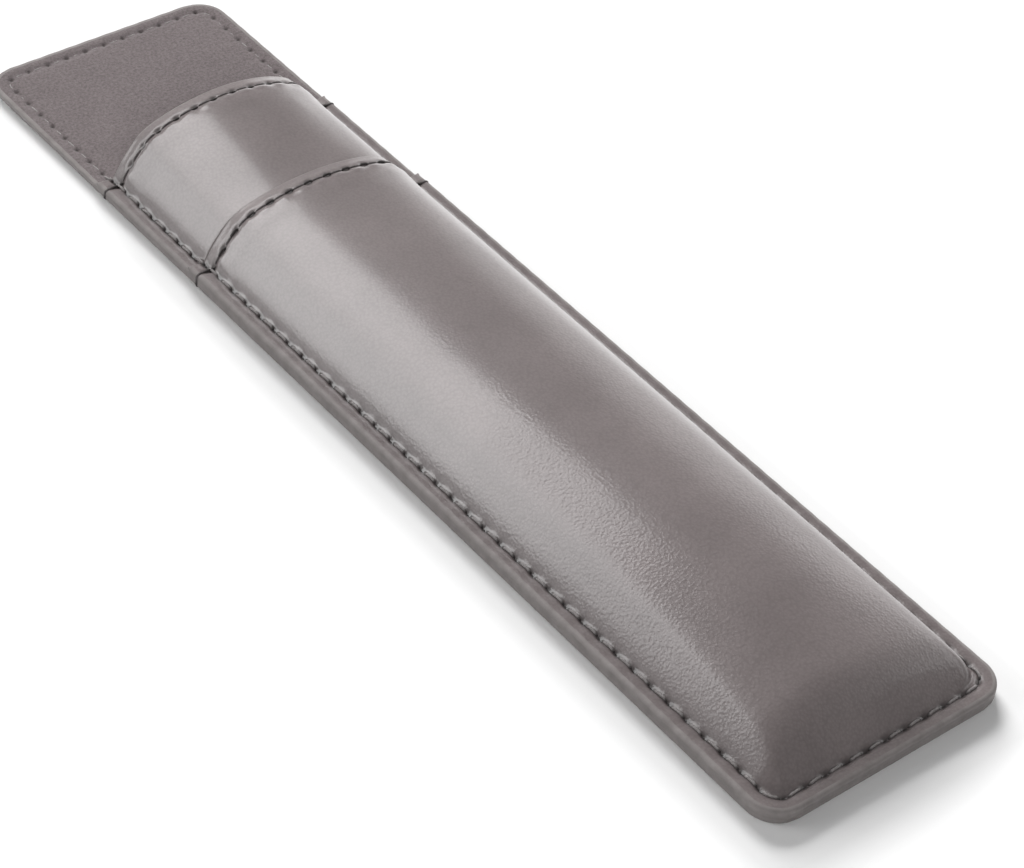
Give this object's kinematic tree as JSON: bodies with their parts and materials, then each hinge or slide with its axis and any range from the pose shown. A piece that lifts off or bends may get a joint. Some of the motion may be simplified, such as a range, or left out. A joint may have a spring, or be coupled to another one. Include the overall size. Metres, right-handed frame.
{
  "type": "pen sleeve",
  "caption": "Flat-backed leather pen sleeve with a lined open tongue and a moulded front in two overlapping layers that hold a pen and its clip.",
  "frame": {"origin": "centre of the flat back, on the surface the sleeve lies on", "axes": "+X across the sleeve, +Y along it towards the open tongue end, +Z out of the moulded front"},
  "size_m": [0.037, 0.16, 0.0103],
  "materials": {
    "leather": "fine grain, half matt",
    "lining": "suede-like microfibre",
    "board": "bonded fibre board",
    "thread": "bonded sewing thread",
    "dark_thread": "bonded sewing thread"
  },
  "bodies": {
    "root": {"back_panel": "leather", "back_stiffener": "board", "back_lining": "lining", "front_lining": "lining", "inner_front_panel": "leather", "outer_front_panel": "leather", "seam_needle_thread": "thread", "seam_bobbin_thread": "thread", "inner_mouth_needle_thread": "dark_thread", "inner_mouth_bobbin_thread": "dark_thread", "outer_mouth_needle_thread": "dark_thread", "outer_mouth_bobbin_thread": "dark_thread", "mouth_corner_stitches": "dark_thread"}
  },
  "joints": []
}
